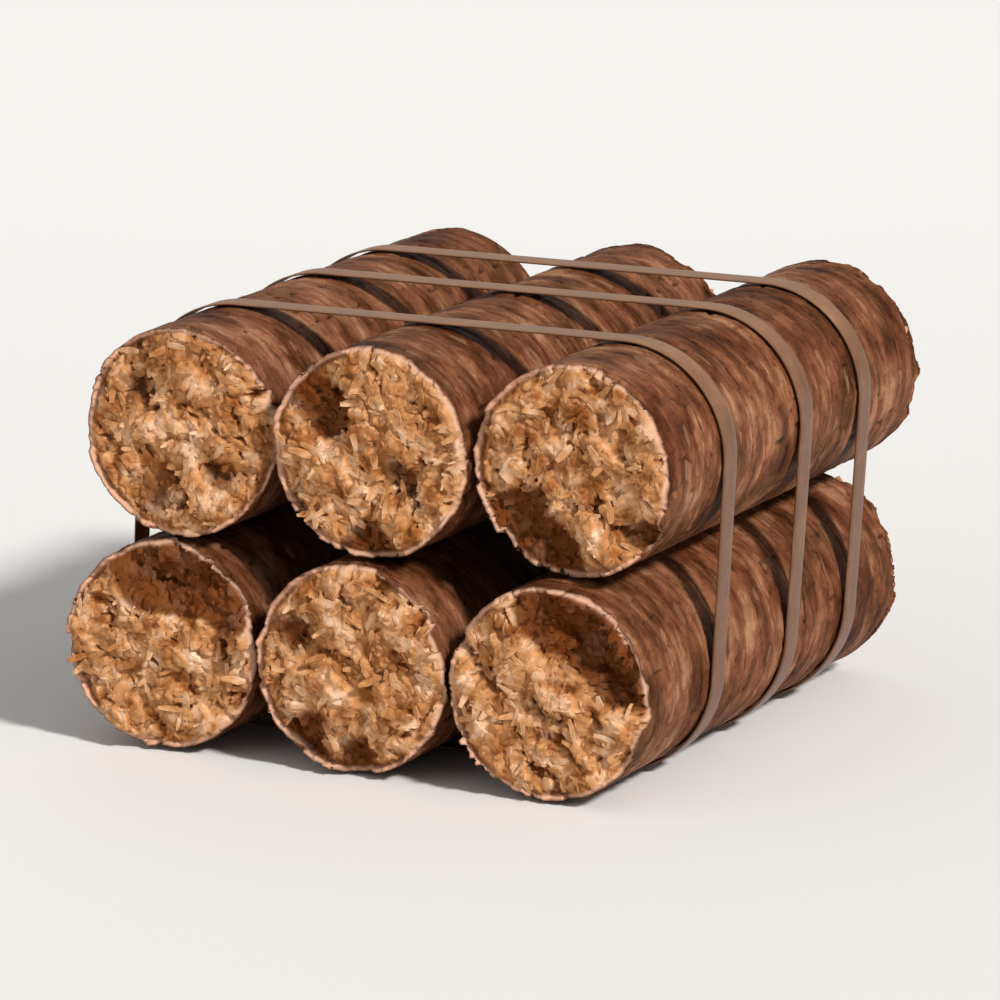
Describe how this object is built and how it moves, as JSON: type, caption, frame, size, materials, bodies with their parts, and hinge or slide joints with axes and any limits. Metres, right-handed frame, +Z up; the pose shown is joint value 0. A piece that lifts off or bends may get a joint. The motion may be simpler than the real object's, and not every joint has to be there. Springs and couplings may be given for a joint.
{
  "type": "strapped bundle of pressed-sawdust firewood logs",
  "caption": "Bundle of round pressed-sawdust firewood logs with rough broken ends, stacked in two layers and bound by dark plastic straps.",
  "frame": {"origin": "under the middle of the bundle's box, on the surface that the straps' underside rests on", "axes": "+Z up; +Y along the logs, from the front ends to the back ones; +X across the logs, to the right as seen from the front"},
  "size_m": [0.2678, 0.2668, 0.1758],
  "materials": {
    "pressed_wood": "matte",
    "strap_plastic": "satin"
  },
  "bodies": {
    "root": {"log_upper_left": "pressed_wood", "log_upper_middle": "pressed_wood", "log_upper_right": "pressed_wood", "log_lower_left": "pressed_wood", "log_lower_middle": "pressed_wood", "log_lower_right": "pressed_wood", "strap_front": "strap_plastic", "strap_middle": "strap_plastic", "strap_back": "strap_plastic"}
  },
  "joints": []
}
